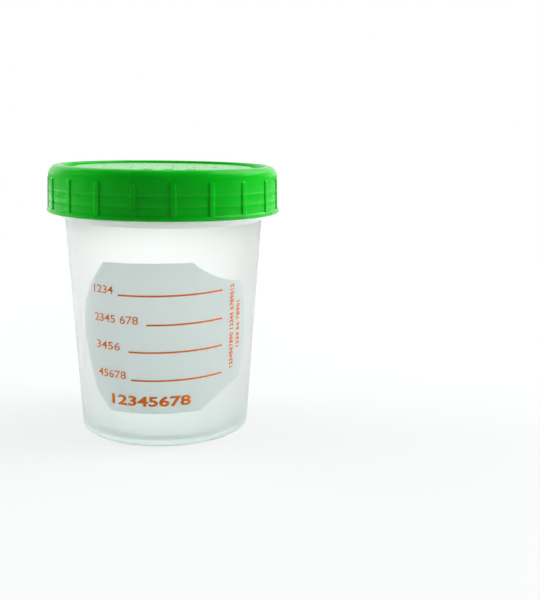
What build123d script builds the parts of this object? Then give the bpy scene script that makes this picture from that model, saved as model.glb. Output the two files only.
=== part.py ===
"""Screw-cap specimen container: moulded cup, moulded cap and a wrapped adhesive label.

The axis is +Z and the cup stands on z = 0.  The label faces -Y.  Lengths are in millimetres.
"""
import os
from math import radians, sin, tan

from build123d import *

# Cup body
rim_height = 73.0            # table to the lip
base_radius = 24.3           # outside of the tapered wall, run down to the table
wall_slope = 0.0613          # outward run of the wall for each millimetre of height
wall_thickness = 1.2
floor_thickness = 1.5
floor_rounding = 1.6
foot_height = 1.2            # clearance under the floor, inside the foot ring
foot_width = 2.0
foot_bevel = 0.8             # radial run of the foot ring's inner side
foot_rounding = 0.9

# Stop flange and screw neck
flange_drop = 10.9           # from the lip down to the lower edge of the flange
flange_thickness = 0.7
flange_slope = 1.3           # drop of the sloped underside, from that edge to the wall
flange_reach = 0.9           # how far the flange stands out from the neck
neck_wall = 1.2              # at the lip
lip_bevel = 0.3
edge_break = 0.2             # bevel on the edges of the flange, the hem, the disc and the plug

# Screw thread: right-handed, with two starts
thread_starts = 2
thread_lead = 6.4
thread_turn = 0.65           # turns that each start runs
thread_width = 1.9           # along the axis, at the wall
thread_height = 0.85         # of a cup ridge
cap_thread_height = 1.1
thread_flank = 30.0          # degrees from square
thread_sink = 0.3            # depth that a ridge is sunk in its wall
thread_gap = 0.15            # radial, between the crests of cup and cap
thread_inset = 2.5           # from the lip down to the middle of a cup ridge at its top end
thread_angle = 25.0          # where the first ridge starts, round the axis

# Cap
cap_height = 13.0
cap_roof = 3.0               # from the lip up to the crest of the rim
lip_clearance = 0.05
skirt_wall = 1.6
hem_reach = 0.525            # how far the hem stands out from the skirt
hem_height = 1.4
hem_slope = 0.6              # height over which the skirt runs out to the hem
skirt_draft = 0.25           # how much narrower the skirt is at its top
shoulder_rounding = 2.6
grip_ribs = 20
grip_rib_width = 1.4
grip_rib_relief = 0.3
grip_rib_run_out = 0.9       # height over which a rib dies away at its top
grip_rib_angle = 3.9         # from the middle of the front to the nearest rib

# Cap face: rim, groove and raised writing disc
rim_crest = 0.2              # flat crest, between the shoulder and the inner bevel
rim_inner_bevel = 0.4
groove_width = 3.3
groove_depth = 1.4
disc_drop = 0.6              # disc below the crest of the rim
disc_thickness = 1.9
face_draft = 0.35            # radial run of each side of the groove

# Plug ring under the groove, which seals in the mouth of the cup
plug_depth = 2.4
plug_thickness = 1.0
plug_clearance = 0.12

# Raised writing lines on the disc
line_right = 18.6
line_starts = (-5.0, 2.0, 0.5, -5.0, -4.0)
line_top_row = 9.2
line_pitch = 5.9
line_width = 0.4
line_relief = 0.12

# Label: corners as (distance round the wall from the middle of the front, height)
label_thickness = 0.12
label_gap = 0.03
label_corners = (
    (-16.4, 9.5),
    (9.6, 9.9),
    (18.8, 15.6),
    (23.9, 17.3),
    (25.6, 23.5),
    (26.5, 31.0),
    (26.3, 36.0),
    (25.0, 41.5),
    (23.2, 45.4),
)
label_scoop = (15.6, 47.0)   # a point on the scooped top right edge
label_far_corners = (
    (7.4, 51.7),
    (-17.5, 51.3),
    (-22.6, 44.9),
    (-23.9, 41.4),
    (-25.3, 39.8),
    (-26.2, 34.5),
    (-26.2, 29.5),
    (-24.2, 22.5),
    (-21.3, 14.8),
)


def wall_radius(height):
    """Outside radius of the tapered wall at a height."""
    return base_radius + wall_slope * height


def bore_radius(height):
    """Inside radius of the cup at a height."""
    return wall_radius(height) - wall_thickness


def on_front(corner):
    """Point of the label's outline, seen square from the front."""
    distance, height = corner
    return (wall_radius(height) * sin(distance / wall_radius(height)), height)


floor_height = foot_height + floor_thickness
flange_height = rim_height - flange_drop
flange_top = flange_height + flange_thickness
flange_foot = flange_height - flange_slope
neck_radius = bore_radius(rim_height) + neck_wall
flange_radius = neck_radius + flange_reach
cap_top = rim_height + cap_roof
cap_bottom = cap_top - cap_height
roof_under = rim_height + lip_clearance
skirt_bore = neck_radius + thread_height + thread_gap + cap_thread_height
skirt_radius = skirt_bore + skirt_wall
hem_radius = skirt_radius + hem_reach
skirt_top_radius = skirt_radius - skirt_draft
rim_inner_radius = skirt_top_radius - shoulder_rounding - rim_crest - rim_inner_bevel
disc_radius = rim_inner_radius - groove_width
groove_floor = cap_top - groove_depth
disc_top = cap_top - disc_drop
plug_bottom = rim_height - plug_depth
plug_radius = bore_radius(plug_bottom) - plug_clearance
thread_rise = thread_lead * thread_turn
thread_bottom = rim_height - thread_inset - thread_rise
thread_pitch = thread_lead / thread_starts
half_root = thread_width / 2
flank_run = tan(radians(thread_flank))

# One thread ridge of the cup, wound from its lower end
with BuildPart() as cup_ridge:
    with BuildLine() as winding:
        Helix(thread_lead, thread_rise, neck_radius, center=(0, 0, thread_bottom))
    with BuildSketch(Plane(winding.line @ 0, x_dir=(1, 0, 0), z_dir=winding.line % 0)):
        with BuildLine():
            Polyline(
                (-thread_sink, -half_root - thread_sink * flank_run),
                (thread_height, -half_root + thread_height * flank_run),
                (thread_height, half_root - thread_height * flank_run),
                (-thread_sink, half_root + thread_sink * flank_run),
                close=True,
            )
        make_face()
    sweep(path=winding.line, is_frenet=True)

# The cup: tapered wall with a foot ring, a stop flange and a screw neck
with BuildPart() as cup:
    with BuildSketch(Plane.XZ) as cup_section:
        with BuildLine():
            FilletPolyline(
                (0, foot_height),
                (base_radius - foot_width - foot_bevel, foot_height),
                (base_radius - foot_width, 0),
                (base_radius, 0),
                (wall_radius(flange_foot), flange_foot),
                (flange_radius, flange_height),
                (flange_radius, flange_top),
                (neck_radius, flange_top),
                (neck_radius, rim_height),
                (bore_radius(rim_height), rim_height),
                (bore_radius(floor_height), floor_height),
                (0, floor_height),
                radius=[0, 0, foot_rounding, 0, 0, 0, 0, 0, 0, floor_rounding],
            )
            Line((0, floor_height), (0, foot_height))
        make_face()
        chamfer(cup_section.vertices().group_by(Axis.X)[-1], edge_break)
        chamfer(cup_section.vertices().group_by(Axis.Y)[-1], lip_bevel)
    revolve(axis=Axis.Z)
    for start in range(thread_starts):
        add(cup_ridge.part, rotation=(0, 0, thread_angle + start * 360 / thread_starts))
cup.part.label = "cup"

# One thread ridge of the cap, which lies between the ridges of the cup
with BuildPart() as cap_ridge:
    with BuildLine() as winding:
        Helix(thread_lead, thread_rise, skirt_bore, center=(0, 0, thread_bottom - thread_pitch / 2))
    with BuildSketch(Plane(winding.line @ 0, x_dir=(1, 0, 0), z_dir=winding.line % 0)):
        with BuildLine():
            Polyline(
                (thread_sink, -half_root - thread_sink * flank_run),
                (-cap_thread_height, -half_root + cap_thread_height * flank_run),
                (-cap_thread_height, half_root - cap_thread_height * flank_run),
                (thread_sink, half_root + thread_sink * flank_run),
                close=True,
            )
        make_face()
    sweep(path=winding.line, is_frenet=True)

# The grip ribs: a ring with a tapered top, cut down to separate bars
hem_top = cap_bottom + hem_height
shoulder_bottom = cap_top - shoulder_rounding
with BuildPart() as ribs:
    with BuildSketch(Plane.XZ):
        with BuildLine():
            Polyline(
                (skirt_radius - skirt_wall / 2, hem_top - hem_height / 2),
                (skirt_radius + grip_rib_relief, hem_top - hem_height / 2),
                (skirt_top_radius + grip_rib_relief, shoulder_bottom - grip_rib_run_out),
                (skirt_top_radius - grip_rib_relief, shoulder_bottom),
                (skirt_radius - skirt_wall / 2, shoulder_bottom),
                close=True,
            )
        make_face()
    revolve(axis=Axis.Z)
    with BuildSketch(Plane.XY.offset(cap_bottom)):
        with PolarLocations(skirt_radius, grip_ribs, start_angle=grip_rib_angle - 90):
            Rectangle(2 * skirt_wall, grip_rib_width)
    extrude(amount=cap_height, mode=Mode.INTERSECT)

# The cap: rounded rim, ribbed skirt with a hem, groove, raised disc and plug ring
with BuildPart() as cap:
    with BuildSketch(Plane.XZ) as cap_section:
        with BuildLine():
            FilletPolyline(
                (0, disc_top),
                (disc_radius - face_draft, disc_top),
                (disc_radius, groove_floor),
                (rim_inner_radius - face_draft, groove_floor),
                (rim_inner_radius, cap_top),
                (skirt_top_radius, cap_top),
                (skirt_radius, hem_top),
                (hem_radius, hem_top - hem_slope),
                (hem_radius, cap_bottom),
                (skirt_bore, cap_bottom),
                (skirt_bore, roof_under),
                (plug_radius, roof_under),
                (plug_radius, plug_bottom),
                (plug_radius - plug_thickness, plug_bottom),
                (plug_radius - plug_thickness, disc_top - disc_thickness),
                (0, disc_top - disc_thickness),
                radius=[0, 0, 0, 0, shoulder_rounding] + [0] * 9,
            )
            Line((0, disc_top - disc_thickness), (0, disc_top))
        make_face()
        chamfer(cap_section.vertices().group_by(Axis.Y)[0], edge_break)
        chamfer(cap_section.vertices().sort_by_distance((disc_radius, disc_top))[0], edge_break)
        chamfer(cap_section.vertices().sort_by_distance((rim_inner_radius, cap_top))[0], rim_inner_bevel)
        plug_corners = (plug_radius, plug_bottom), (plug_radius - plug_thickness, plug_bottom)
        for corner in plug_corners:
            chamfer(cap_section.vertices().sort_by_distance(corner)[0], edge_break)
    revolve(axis=Axis.Z)
    add(ribs.part)
    # Writing lines, which run away from the front
    with BuildSketch(Plane(origin=(0, 0, disc_top), x_dir=(0, 1, 0))):
        for row, line_start in enumerate(line_starts):
            with Locations(((line_start + line_right) / 2, line_top_row - row * line_pitch)):
                Rectangle(line_right - line_start, line_width)
    extrude(amount=line_relief)
    for start in range(thread_starts):
        add(cap_ridge.part, rotation=(0, 0, thread_angle + start * 360 / thread_starts))
cap.part.label = "cap"

# The label: a thin cone round the wall, cut to its outline
with BuildPart() as label:
    label_bottom = min(height for distance, height in label_corners)
    label_top = max(height for distance, height in label_far_corners)
    with BuildSketch(Plane.XZ):
        inner = [(wall_radius(height) + label_gap, height) for height in (label_bottom - 1, label_top + 1)]
        outer = [(radius + label_thickness, height) for radius, height in reversed(inner)]
        with BuildLine():
            Polyline(*inner, *outer, close=True)
        make_face()
    revolve(axis=Axis.Z)
    with BuildSketch(Plane.XZ):
        with BuildLine():
            Polyline(*[on_front(corner) for corner in label_far_corners + label_corners])
            ThreePointArc(on_front(label_corners[-1]), on_front(label_scoop), on_front(label_far_corners[0]))
        make_face()
    extrude(amount=2 * base_radius, mode=Mode.INTERSECT)
label.part.label = "label"

os.makedirs("parts", exist_ok=True)
export_step(cup.part, "parts/cup.step")
export_step(cap.part, "parts/cap.step")
export_step(label.part, "parts/label.step")
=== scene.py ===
from math import atan, atan2, cos, hypot, pi, radians, sin

import bmesh
import bpy
from mathutils import Matrix, Vector


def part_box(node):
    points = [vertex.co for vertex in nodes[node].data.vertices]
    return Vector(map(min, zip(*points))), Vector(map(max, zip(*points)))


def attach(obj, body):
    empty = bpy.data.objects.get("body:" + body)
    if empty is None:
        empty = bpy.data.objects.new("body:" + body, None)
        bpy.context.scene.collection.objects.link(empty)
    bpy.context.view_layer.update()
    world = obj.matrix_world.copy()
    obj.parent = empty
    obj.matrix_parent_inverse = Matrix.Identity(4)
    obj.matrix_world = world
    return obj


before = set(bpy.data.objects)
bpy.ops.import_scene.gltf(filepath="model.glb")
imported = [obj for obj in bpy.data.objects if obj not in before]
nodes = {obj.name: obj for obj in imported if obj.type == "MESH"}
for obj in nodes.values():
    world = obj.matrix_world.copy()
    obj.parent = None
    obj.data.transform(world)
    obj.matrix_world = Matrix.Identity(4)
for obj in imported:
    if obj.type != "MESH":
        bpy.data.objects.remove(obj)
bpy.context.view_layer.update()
scene = bpy.context.scene
mm = 0.001


def toLinear(hexColour):
    # sRGB hex to the linear colour that the shaders work in
    parts = [int(hexColour[i:i + 2], 16) / 255 for i in (1, 3, 5)]
    return tuple(c / 12.92 if c <= 0.04045 else ((c + 0.055) / 1.055) ** 2.4 for c in parts) + (1.0,)


def addNode(tree, kind, inputs=None, **settings):
    # one node, its settings, and its inputs as plain values or as sockets to link
    node = tree.nodes.new("ShaderNode" + kind)
    for name, value in settings.items():
        setattr(node, name, value)
    for name, value in (inputs or {}).items():
        if isinstance(value, bpy.types.NodeSocket):
            tree.links.new(value, node.inputs[name])
        else:
            node.inputs[name].default_value = value
    return node


def newMaterial(name):
    material = bpy.data.materials.new(name)
    material.use_nodes = True
    material.node_tree.nodes.clear()
    return material, material.node_tree


def finishMaterial(tree, shader):
    output = addNode(tree, "OutputMaterial")
    tree.links.new(shader.outputs[0], output.inputs["Surface"])


def setRamp(ramp, stops):
    # stops are (place, grey or hex colour)
    elements = ramp.color_ramp.elements
    while len(elements) < len(stops):
        elements.new(0.5)
    for element, (place, value) in zip(elements, stops):
        element.position = place
        element.color = toLinear(value) if isinstance(value, str) else (value, value, value, 1.0)


grainSpread = {"From Min": 0.3, "From Max": 0.7}  # nearly all of a noise texture's values

cupPlastic = {
    "clear": "#FDFFFE",         # natural polypropylene has no pigment
    "shade": "#FBFDFC",         # where the resin runs a little thicker
    "foot": "#F1FFFA",          # greener towards the bottom, fading out at footTop
    "footTop": 9.0 * mm,
    "transmission": 0.99,       # a milky wall: most of the light goes through, blurred
    "roughness": (0.41, 0.52),  # from one end of the grain to the other
    "ior": 1.49,
    "texture": 0.45 * mm,       # grain that the steel mould leaves
    "textureDepth": 0.02 * mm,
    "flow": 7.0 * mm,           # slow waves from shrinkage
    "flowDepth": 0.15 * mm,
}


def mouldedPolypropylene(name, p):
    # unpigmented injection-moulded polypropylene: a milky, half-clear wall with a soft satin gloss
    material, tree = newMaterial(name)
    place = addNode(tree, "TexCoord").outputs["Object"]
    flow = addNode(tree, "TexNoise", {"Vector": place, "Scale": 1 / p["flow"], "Detail": 2.0})
    grain = addNode(tree, "TexNoise", {"Vector": place, "Scale": 1 / p["texture"], "Detail": 3.0})
    tint = addNode(tree, "ValToRGB", {"Fac": flow.outputs["Fac"]})
    setRamp(tint, [(0.3, p["shade"]), (0.7, p["clear"])])
    height = addNode(tree, "SeparateXYZ", {"Vector": place})
    low = addNode(tree, "MapRange", {
        "Value": height.outputs["Z"], "From Max": p["footTop"], "To Min": 1.0, "To Max": 0.0,
    }, interpolation_type="SMOOTHSTEP")
    colour = addNode(tree, "Mix", {
        0: low.outputs["Result"], 6: tint.outputs["Color"], 7: toLinear(p["foot"]),
    }, data_type="RGBA")
    sheen = addNode(tree, "MapRange", {
        "Value": grain.outputs["Fac"], **grainSpread,
        "To Min": p["roughness"][0], "To Max": p["roughness"][1],
    })
    waves = addNode(tree, "Bump", {
        "Height": flow.outputs["Fac"], "Strength": 0.25, "Distance": p["flowDepth"],
    })
    bump = addNode(tree, "Bump", {
        "Height": grain.outputs["Fac"], "Normal": waves.outputs["Normal"],
        "Strength": 0.2, "Distance": p["textureDepth"],
    })
    shader = addNode(tree, "BsdfPrincipled", {
        "Base Color": colour.outputs[2],
        "Roughness": sheen.outputs["Result"],
        "Normal": bump.outputs["Normal"],
        "IOR": p["ior"],
        "Transmission Weight": p["transmission"],
    })
    finishMaterial(tree, shader)
    return material


capPlastic = {
    "green": "#02AC16",
    "deep": "#01A212",
    "roughness": (0.17, 0.24),
    "ior": 1.51,
    "specular": 0.2,
    "edge": 0.3 * mm,           # softness of the moulded edges
    "texture": 0.5 * mm,
    "textureDepth": 0.008 * mm,
    "flow": 9.0 * mm,
    "flowDepth": 0.15 * mm,
    "subsurface": 0.6,
    "scatter": 1.2 * mm,        # how far the light gets in, for the green
    "scatterColour": (0.25, 1.0, 0.3),
    # sink bands round the skirt, over the thread inside it
    "skirtBottom": 64.8 * mm,
    "skirtTop": 73.3 * mm,
    "bandDepth": 0.35 * mm,
    "bands": (
        (0.0, 0.6), (0.14, 0.62), (0.2, 0.35), (0.27, 0.62),
        (0.46, 0.62), (0.53, 0.35), (0.6, 0.62), (1.0, 0.6),
    ),
}


def mouldedPolyethylene(p):
    # pigmented injection-moulded polyethylene: a waxy, half-gloss green that lets a little light in
    material, tree = newMaterial("mouldedGreenPolyethylene")
    place = addNode(tree, "TexCoord").outputs["Object"]
    flow = addNode(tree, "TexNoise", {"Vector": place, "Scale": 1 / p["flow"], "Detail": 2.0})
    grain = addNode(tree, "TexNoise", {"Vector": place, "Scale": 1 / p["texture"], "Detail": 3.0})
    tint = addNode(tree, "ValToRGB", {"Fac": flow.outputs["Fac"]})
    setRamp(tint, [(0.3, p["deep"]), (0.7, p["green"])])
    height = addNode(tree, "SeparateXYZ", {"Vector": place})
    along = addNode(tree, "MapRange", {
        "Value": height.outputs["Z"], "From Min": p["skirtBottom"], "From Max": p["skirtTop"],
    })
    bands = addNode(tree, "ValToRGB", {"Fac": along.outputs["Result"]})
    bands.color_ramp.interpolation = "B_SPLINE"
    setRamp(bands, p["bands"])
    sheen = addNode(tree, "MapRange", {
        "Value": grain.outputs["Fac"], **grainSpread,
        "To Min": p["roughness"][0], "To Max": p["roughness"][1],
    })
    soft = addNode(tree, "Bevel", {"Radius": p["edge"]}, samples=12)
    sinks = addNode(tree, "Bump", {
        "Height": bands.outputs["Color"], "Normal": soft.outputs["Normal"],
        "Strength": 0.6, "Distance": p["bandDepth"],
    })
    waves = addNode(tree, "Bump", {
        "Height": flow.outputs["Fac"], "Normal": sinks.outputs["Normal"],
        "Strength": 0.25, "Distance": p["flowDepth"],
    })
    bump = addNode(tree, "Bump", {
        "Height": grain.outputs["Fac"], "Normal": waves.outputs["Normal"],
        "Strength": 0.2, "Distance": p["textureDepth"],
    })
    shader = addNode(tree, "BsdfPrincipled", {
        "Base Color": tint.outputs["Color"],
        "Roughness": sheen.outputs["Result"],
        "Normal": bump.outputs["Normal"],
        "IOR": p["ior"],
        "Specular IOR Level": p["specular"],
        "Subsurface Weight": p["subsurface"],
        "Subsurface Radius": p["scatterColour"],
        "Subsurface Scale": p["scatter"],
    })
    finishMaterial(tree, shader)
    return material


labelFilm = {
    "face": "#F0F6F5",
    "fleck": "#E9F1F0",
    "roughness": (0.50, 0.63),
    "ior": 1.5,
    "thin": 0.8,                # light that comes through from behind
    "fibre": 0.3 * mm,
    "fibreDepth": 0.015 * mm,
}


def mattPaper(p):
    # coated label paper: matt and slightly grey, with a fine fibre grain
    material, tree = newMaterial("coatedLabelPaper")
    place = addNode(tree, "TexCoord").outputs["Object"]
    fibre = addNode(tree, "TexNoise", {"Vector": place, "Scale": 1 / p["fibre"], "Detail": 4.0})
    tint = addNode(tree, "ValToRGB", {"Fac": fibre.outputs["Fac"]})
    setRamp(tint, [(0.35, p["fleck"]), (0.65, p["face"])])
    sheen = addNode(tree, "MapRange", {
        "Value": fibre.outputs["Fac"], **grainSpread,
        "To Min": p["roughness"][0], "To Max": p["roughness"][1],
    })
    bump = addNode(tree, "Bump", {
        "Height": fibre.outputs["Fac"], "Strength": 0.2, "Distance": p["fibreDepth"],
    })
    shader = addNode(tree, "BsdfPrincipled", {
        "Base Color": tint.outputs["Color"],
        "Roughness": sheen.outputs["Result"],
        "Normal": bump.outputs["Normal"],
        "IOR": p["ior"],
        "Transmission Weight": p["thin"],
    })
    finishMaterial(tree, shader)
    return material


labelInk = {
    "full": "#E06A02",
    "thin": "#E27A1C",          # where the film of ink is thinner
    "roughness": 0.45,
    "ior": 1.5,
    "specular": 0.2,
    "mottle": 0.25 * mm,
    "mottleDepth": 0.01 * mm,
}


def printedInk(p):
    # printing ink on coated paper: flat orange, slightly mottled, with hardly any gloss
    material, tree = newMaterial("orangePrintingInk")
    place = addNode(tree, "TexCoord").outputs["Object"]
    mottle = addNode(tree, "TexNoise", {"Vector": place, "Scale": 1 / p["mottle"], "Detail": 3.0})
    tint = addNode(tree, "ValToRGB", {"Fac": mottle.outputs["Fac"]})
    setRamp(tint, [(0.35, p["full"]), (0.7, p["thin"])])
    bump = addNode(tree, "Bump", {
        "Height": mottle.outputs["Fac"], "Strength": 0.15, "Distance": p["mottleDepth"],
    })
    shader = addNode(tree, "BsdfPrincipled", {
        "Base Color": tint.outputs["Color"],
        "Roughness": p["roughness"],
        "Normal": bump.outputs["Normal"],
        "IOR": p["ior"],
        "Specular IOR Level": p["specular"],
    })
    finishMaterial(tree, shader)
    return material


capMaterial = mouldedPolyethylene(capPlastic)
paperMaterial = mattPaper(labelFilm)
inkMaterial = printedInk(labelInk)
for nodeName, material in (
    ("cup", mouldedPolypropylene("mouldedPolypropylene", cupPlastic)),
    ("cap", capMaterial),
    ("label", paperMaterial),
):
    slots = nodes[nodeName].data.materials
    slots.clear()
    slots.append(material)

flangePlastic = {
    "transmission": 0.2,        # the flange is thick, so it is whiter and less clear than the wall; this whiter copy also lifts the shade under the cap's hem, as painted light
    "bottom": 60.7 * mm,
    "top": 62.9 * mm,
}
cupMesh = nodes["cup"].data
# a whiter copy of the cup plastic for the flange: milkier where thick, and painted light over the shade under
# the hem
cupMesh.materials.append(mouldedPolypropylene("thickPolypropyleneAndPaintedLight", {**cupPlastic, **flangePlastic}))
for face in cupMesh.polygons:
    outward = face.normal.x * face.center.x + face.normal.y * face.center.y
    onBore = outward < -0.5 * hypot(face.center.x, face.center.y)  # the bore keeps one look all the way up
    onTop = face.normal.z > 0.5
    if flangePlastic["bottom"] < face.center.z < flangePlastic["top"] and not (onBore or onTop):
        face.material_index = 1
print("materials done")


def ringRadius(obj, height, within=0.2 * mm):
    # largest radius among the vertices at one height
    return max(hypot(v.co.x, v.co.y) for v in obj.data.vertices if abs(v.co.z - height) < within)


# the label's face, unrolled flat
labelLow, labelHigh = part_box("label")
lowRadius = ringRadius(nodes["label"], labelLow.z)
highRadius = ringRadius(nodes["label"], labelHigh.z)
labelSlope = (highRadius - lowRadius) / (labelHigh.z - labelLow.z)
coneAngle = atan(labelSlope)
sheet = {
    "middle": 30.0 * mm,        # height where the flat sheet's zero lies
    "tilt": 0.027,              # the print runs up to the right by this slope
}
sheetRadius = lowRadius + labelSlope * (sheet["middle"] - labelLow.z)
sheetReach = sheetRadius / sin(coneAngle)


def onLabel(x, y, lift):
    # a point of the flat print, in metres, wrapped round the tapered wall
    up = y + sheet["tilt"] * x
    reach = hypot(x, sheetReach + up)
    turn = atan2(x, sheetReach + up) / sin(coneAngle)
    radius = reach * sin(coneAngle) + lift * cos(coneAngle)
    height = sheet["middle"] + (reach - sheetReach) * cos(coneAngle) - lift * sin(coneAngle)
    return Vector((radius * sin(turn), -radius * cos(turn), height))


def newPiece(name, bm, material, body):
    mesh = bpy.data.meshes.new(name)
    bmesh.ops.recalc_face_normals(bm, faces=bm.faces)
    bm.to_mesh(mesh)
    bm.free()
    mesh.materials.append(material)
    piece = bpy.data.objects.new(name, mesh)
    scene.collection.objects.link(piece)
    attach(piece, body)
    return piece


def thicken(bm, faces):
    # flat faces at z 0 become a closed solid, one unit thick
    raised = bmesh.ops.extrude_face_region(bm, geom=faces)["geom"]
    bmesh.ops.translate(bm, vec=(0, 0, 1), verts=[v for v in raised if isinstance(v, bmesh.types.BMVert)])


ink = {
    "film": 0.035 * mm,         # proud of the paper, thicker than real ink so that it clears the facets
    "sunk": 0.03 * mm,
    "slice": 1.0 * mm,          # longest flat stretch round the wall
}


def wrapPrint(name, bm):
    # bm is flat print in the sheet's plane, z 0 underneath and 1 on top
    left = min(v.co.x for v in bm.verts)
    right = max(v.co.x for v in bm.verts)
    cuts = int((right - left) / ink["slice"])
    for i in range(1, cuts + 1):
        where = left + (right - left) * i / (cuts + 1)
        bmesh.ops.bisect_plane(
            bm, geom=bm.verts[:] + bm.edges[:] + bm.faces[:], plane_co=(where, 0, 0), plane_no=(1, 0, 0),
        )
    for v in bm.verts:
        v.co = onLabel(v.co.x, v.co.y, ink["film"] if v.co.z > 0.5 else -ink["sunk"])
    return newPiece(name, bm, inkMaterial, "cup")


def roundedBar(bm, left, right, low, high, radius):
    # a flat bar with rounded corners, one unit thick
    points = []
    for cx, cy, start in (
        (right - radius, high - radius, 0), (left + radius, high - radius, 90),
        (left + radius, low + radius, 180), (right - radius, low + radius, 270),
    ):
        for step in range(4):
            angle = radians(start + step * 30)
            points.append((cx + radius * cos(angle), cy + radius * sin(angle), 0))
    thicken(bm, [bm.faces.new([bm.verts.new(p) for p in points])])


def flatFigures(text, height, left, low, weight=0.0, width=None, turned=False):
    # plain figures from the built-in typeface, as a closed mesh one unit thick
    # weight is emboldening, as a share of the type size; turned figures read upwards
    curve = bpy.data.curves.new("figures", "FONT")
    curve.body = text
    curve.size = 1.0
    curve.offset = weight
    curve.resolution_u = 3
    holder = bpy.data.objects.new("figures", curve)
    scene.collection.objects.link(holder)
    bpy.context.view_layer.update()
    evaluated = holder.evaluated_get(bpy.context.evaluated_depsgraph_get())
    bm = bmesh.new()
    bm.from_mesh(bpy.data.meshes.new_from_object(evaluated))
    bpy.data.objects.remove(holder)
    bmesh.ops.remove_doubles(bm, verts=bm.verts, dist=0.001)
    start = min(v.co.x for v in bm.verts)
    foot = min(v.co.y for v in bm.verts)
    scaleY = height / (max(v.co.y for v in bm.verts) - foot)
    scaleX = width / (max(v.co.x for v in bm.verts) - start) if width else scaleY
    for v in bm.verts:
        x, y = (v.co.x - start) * scaleX, (v.co.y - foot) * scaleY
        v.co = (left - y, low + x, 0) if turned else (left + x, low + y, 0)
    thicken(bm, bm.faces[:])
    return bm


# writing lines, and plain figures where each line's caption goes
writing = {
    "right": 16.4 * mm,
    "thickness": 0.46 * mm,
    "figureHeight": 2.2 * mm,
    "figureLift": 0.1 * mm,     # from the line's middle up to the foot of the figures
    "figureWeight": 0.002,
    "rows": (
        {"start": -13.0 * mm, "middle": 12.82 * mm, "text": "1234", "left": -21.0 * mm, "width": 6.5 * mm},
        {"start": -5.1 * mm, "middle": 4.88 * mm, "text": "2345 678", "left": -21.1 * mm, "width": 13.8 * mm},
        {"start": -10.2 * mm, "middle": -2.8 * mm, "text": "3456", "left": -20.7 * mm, "width": 8.0 * mm},
        {"start": -9.6 * mm, "middle": -10.78 * mm, "text": "45678", "left": -20.3 * mm, "width": 9.2 * mm},
    ),
}
for number, row in enumerate(writing["rows"], 1):
    half = writing["thickness"] / 2
    line = bmesh.new()
    roundedBar(line, row["start"], writing["right"], row["middle"] - half, row["middle"] + half, 0.9 * half)
    wrapPrint(f"writingLine{number}", line)
    figures = flatFigures(
        row["text"], writing["figureHeight"], row["left"], row["middle"] + writing["figureLift"],
        weight=writing["figureWeight"], width=row["width"],
    )
    wrapPrint(f"lineFigures{number}", figures)

# bold plain figures along the foot of the label
footFigures = {
    "text": "12345678",
    "height": 3.0 * mm,
    "left": -15.7 * mm,
    "low": -18.2 * mm,
    "weight": 0.03,
    "width": 22.6 * mm,
}
wrapPrint("footFigures", flatFigures(**footFigures))

# small plain figures up the right side
sideFigures = {
    "sideFiguresLong": {
        "text": "1234567890 12345 6789012", "left": 20.7 * mm, "low": -10.2 * mm, "width": 24.1 * mm,
    },
    "sideFiguresShort": {
        "text": "1234 56 78901", "left": 23.4 * mm, "low": -4.9 * mm, "width": 13.5 * mm,
    },
}
sideType = {"height": 1.4 * mm, "weight": 0.02, "turned": True}
for name, row in sideFigures.items():
    wrapPrint(name, flatFigures(**row, **sideType))
print("print on the label done")

# raised figures on the cap's disc, one beside each of its writing lines
capFigures = {
    "count": 5,
    "left": -17.6 * mm,
    "height": 2.8 * mm,
    "relief": 0.12 * mm,
    "sunk": 0.1 * mm,
    "topRow": 9.2 * mm,         # the rows of the disc's writing lines
    "pitch": 5.9 * mm,
    "discDrop": 0.6 * mm,       # disc below the crest of the rim
}
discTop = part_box("cap")[1].z - capFigures["discDrop"]
for row in range(capFigures["count"]):
    low = capFigures["topRow"] - row * capFigures["pitch"]
    figure = flatFigures(str(row + 1), capFigures["height"], capFigures["left"], low)
    # the figures read along +Y, with their tops towards -X
    bmesh.ops.rotate(figure, cent=(0, 0, 0), matrix=Matrix.Rotation(pi / 2, 3, "Z"), verts=figure.verts)
    for v in figure.verts:
        v.co.z = discTop + (capFigures["relief"] if v.co.z > 0.5 else -capFigures["sunk"])
    newPiece(f"capFigure{row + 1}", figure, capMaterial, "cap")
print("figures on the cap done")

floorLook = {
    "colour": "#C2C8C5",
    "cameraShare": 0.72,        # how much of what the camera sees is plain white
    "shadeReach": 0.12,         # metres out to where the floor keeps its full shade
    "whiteFrom": 0.45,          # metres out from where the floor is plain white
    "throughShare": 1.0,        # the same share for what shows through the plastic
    "reach": 3.0,               # half of its side, in metres
}


def whiteSweep(p):
    # a white paper sweep: matt, with the shadow near the object and plain white further out
    material, tree = newMaterial("whitePaperSweep")
    place = addNode(tree, "TexCoord").outputs["Object"]
    distance = addNode(tree, "VectorMath", {0: place}, operation="LENGTH")
    share = addNode(tree, "MapRange", {
        "Value": distance.outputs["Value"], "From Min": p["shadeReach"], "From Max": p["whiteFrom"],
        "To Min": p["cameraShare"], "To Max": 1.0,
    }, interpolation_type="SMOOTHSTEP")
    path = addNode(tree, "LightPath")
    direct = addNode(tree, "Math", {
        0: share.outputs["Result"], 1: path.outputs["Is Camera Ray"],
    }, operation="MULTIPLY")
    through = addNode(tree, "Math", {
        0: path.outputs["Is Transmission Ray"], 1: p["throughShare"],
    }, operation="MULTIPLY")
    factor = addNode(tree, "Math", {0: direct.outputs[0], 1: through.outputs[0]}, operation="MAXIMUM")
    paper = addNode(tree, "BsdfDiffuse", {"Color": toLinear(p["colour"])})
    glow = addNode(tree, "Emission")
    both = addNode(tree, "MixShader", {0: factor.outputs[0], 1: paper.outputs[0], 2: glow.outputs[0]})
    finishMaterial(tree, both)
    return material


reach = floorLook["reach"]
corners = [(-reach, -reach, 0), (reach, -reach, 0), (reach, reach, 0), (-reach, reach, 0)]
floorMesh = bpy.data.meshes.new("floor")
floorMesh.from_pydata(corners, [], [(0, 1, 2, 3)])
floorMesh.materials.append(whiteSweep(floorLook))
floor = bpy.data.objects.new("floor", floorMesh)
scene.collection.objects.link(floor)

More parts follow.
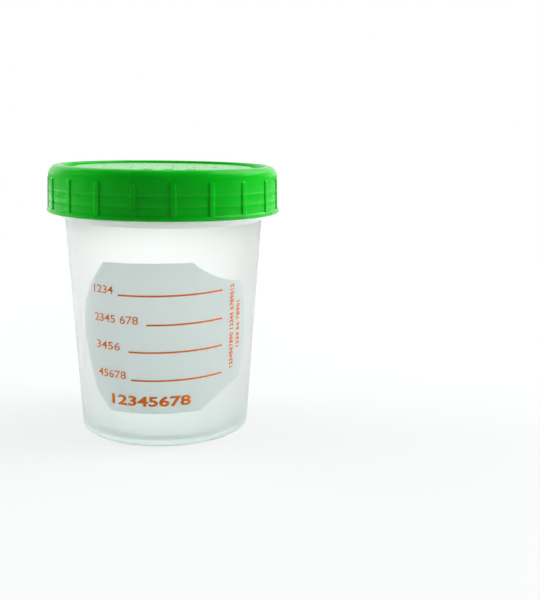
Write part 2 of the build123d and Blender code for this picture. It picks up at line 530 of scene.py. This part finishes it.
worldLight = {
    "room": 0.26,               # fill light
    "seen": 1.0,                # what the camera sees, directly and through the plastic
    "darkSide": 0.08,           # the dark end of the studio, which shows in the gloss at the front
    "darkFrom": 0.3,            # its bounds, as the y of a unit direction
    "darkTo": 0.8,
}
world = bpy.data.worlds.new("studio")
world.use_nodes = True
tree = world.node_tree
tree.nodes.clear()
path = addNode(tree, "LightPath")
way = addNode(tree, "SeparateXYZ", {"Vector": addNode(tree, "TexCoord").outputs["Generated"]})
mirrored = addNode(tree, "MapRange", {
    "Value": way.outputs["Y"], "From Min": worldLight["darkFrom"], "From Max": worldLight["darkTo"],
    "To Min": worldLight["darkSide"], "To Max": worldLight["seen"],
}, interpolation_type="SMOOTHSTEP")
seen = addNode(tree, "Math", {
    0: path.outputs["Is Camera Ray"], 1: path.outputs["Is Transmission Ray"],
}, operation="MAXIMUM")
room = addNode(tree, "Mix", {
    0: path.outputs["Is Glossy Ray"], 2: worldLight["room"], 3: mirrored.outputs["Result"],
})
level = addNode(tree, "Mix", {0: seen.outputs[0], 2: room.outputs[0], 3: worldLight["seen"]})
sky = addNode(tree, "Background", {"Color": (1, 1, 1, 1), "Strength": level.outputs[0]})
worldOutput = addNode(tree, "OutputWorld")
tree.links.new(sky.outputs[0], worldOutput.inputs["Surface"])
scene.world = world

# each panel's place and size in metres and power in watts; gloss and through say whether
# it shows in reflections and through the plastic
softboxes = {
    "panelLeft": {"place": (-0.66, 0.44, 0.3), "power": 7.0, "size": (1.2, 1.0), "through": True},
    "panelRight": {"place": (0.75, 0.2, 0.3), "power": 3.0, "size": (1.2, 1.0), "through": True},
    "panelBack": {"place": (0.0, 1.0, 0.35), "power": 4.0, "size": (1.6, 1.0), "through": True},
    "stripLeft": {"place": (-0.75, 0.22, 0.25), "power": 7.6, "size": (0.6, 1.0)},
    "stripRight": {"place": (0.8, 0.0, 0.25), "power": 12.3, "size": (0.6, 1.0)},
    "panelTop": {"place": (0.0, 0.1, 0.8), "power": 1.2, "size": (0.8, 0.6)},
    "keyRight": {"place": (0.54, 0.26, 0.65), "power": 2.6, "size": (0.6, 0.6), "gloss": True},
}
aim = Vector((0, 0, 0.04))  # the middle of the cup
for name, box in softboxes.items():
    light = bpy.data.lights.new(name, "AREA")
    light.shape = "RECTANGLE"
    light.size, light.size_y = box["size"]
    light.energy = box["power"]
    lamp = bpy.data.objects.new(name, light)
    lamp.location = box["place"]
    lamp.rotation_euler = (aim - lamp.location).to_track_quat("-Z", "Y").to_euler()
    lamp.visible_camera = False
    lamp.visible_glossy = box.get("gloss", False)
    lamp.visible_transmission = box.get("through", False)
    scene.collection.objects.link(lamp)

view = {
    "place": (0.0, -0.25805, 0.0872),
    "lens": 53.2,
    "nearest": 0.01,
    "down": radians(11.09),
    "right": radians(6.87),
    "roll": radians(0.879),
}
cameraData = bpy.data.cameras.new("camera")
cameraData.lens = view["lens"]
cameraData.clip_start = view["nearest"]
camera = bpy.data.objects.new("camera", cameraData)
forward = Vector((
    sin(view["right"]) * cos(view["down"]), cos(view["right"]) * cos(view["down"]), -sin(view["down"]),
))
camera.matrix_world = (
    Matrix.Translation(view["place"])
    @ forward.to_track_quat("-Z", "Y").to_matrix().to_4x4()
    @ Matrix.Rotation(view["roll"], 4, "Z")
)
scene.collection.objects.link(camera)
scene.camera = camera
scene.view_settings.view_transform = "Standard"
print("floor, light and camera done")
